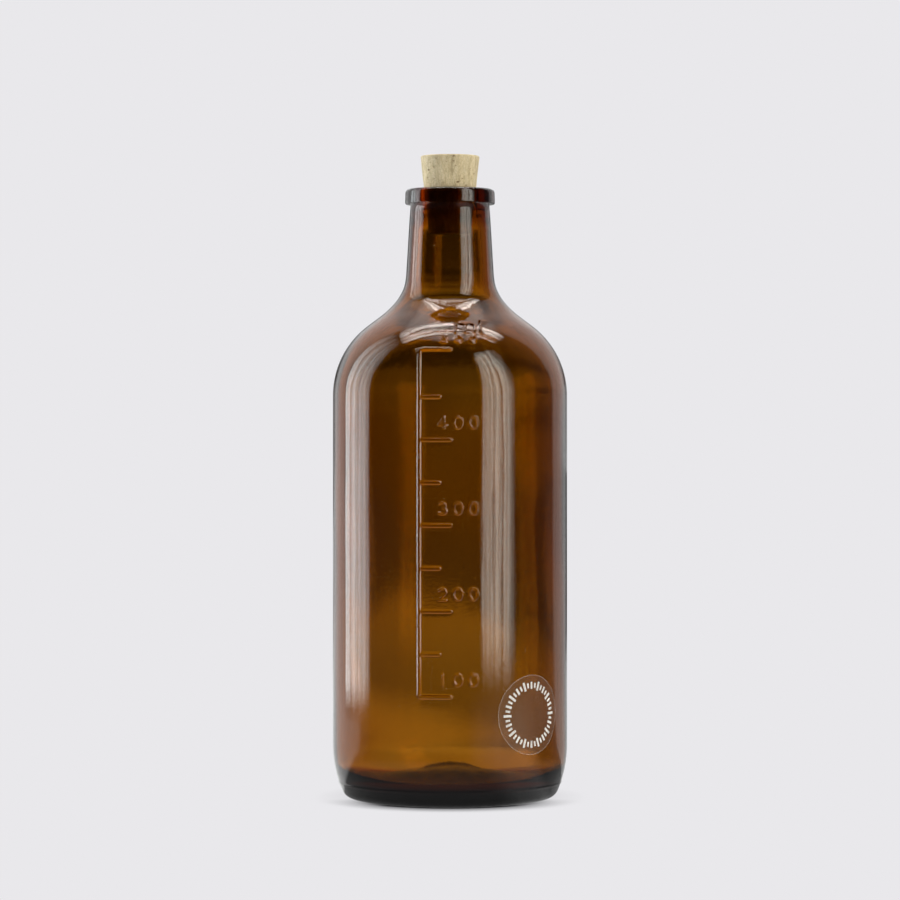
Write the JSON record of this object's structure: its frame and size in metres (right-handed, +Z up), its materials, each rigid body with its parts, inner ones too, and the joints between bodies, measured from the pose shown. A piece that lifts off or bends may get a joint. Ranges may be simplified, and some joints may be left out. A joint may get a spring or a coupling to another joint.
{
  "type": "graduated glass bottle",
  "caption": "Round amber glass bottle with a moulded volume scale, a banded lip, a tapered cork that pulls out of the neck, and a clear round sticker near the base.",
  "frame": {"origin": "centre of the base, on the plane the bottle stands on", "axes": "+Z up along the bottle's axis, towards the cork; the moulded scale faces -Y and the sticker is to its right, towards +X"},
  "size_m": [0.075, 0.0755, 0.205],
  "materials": {
    "glass": "clear amber soda-lime glass, glossy, slightly wavy from the mould",
    "cork": "natural cork, matte, pale tan with small brown pores",
    "label": "clear vinyl film with a white printed ring of plain marks"
  },
  "bodies": {
    "bottle": {"glass_bottle": "glass", "clear_label": "label"},
    "stopper": {"cork_stopper": "cork"}
  },
  "joints": [
    {"name": "cork_pull", "type": "slide", "parent": "bottle", "child": "stopper", "axis": [0, 0, 1], "range_m": [0, 0.03]}
  ]
}
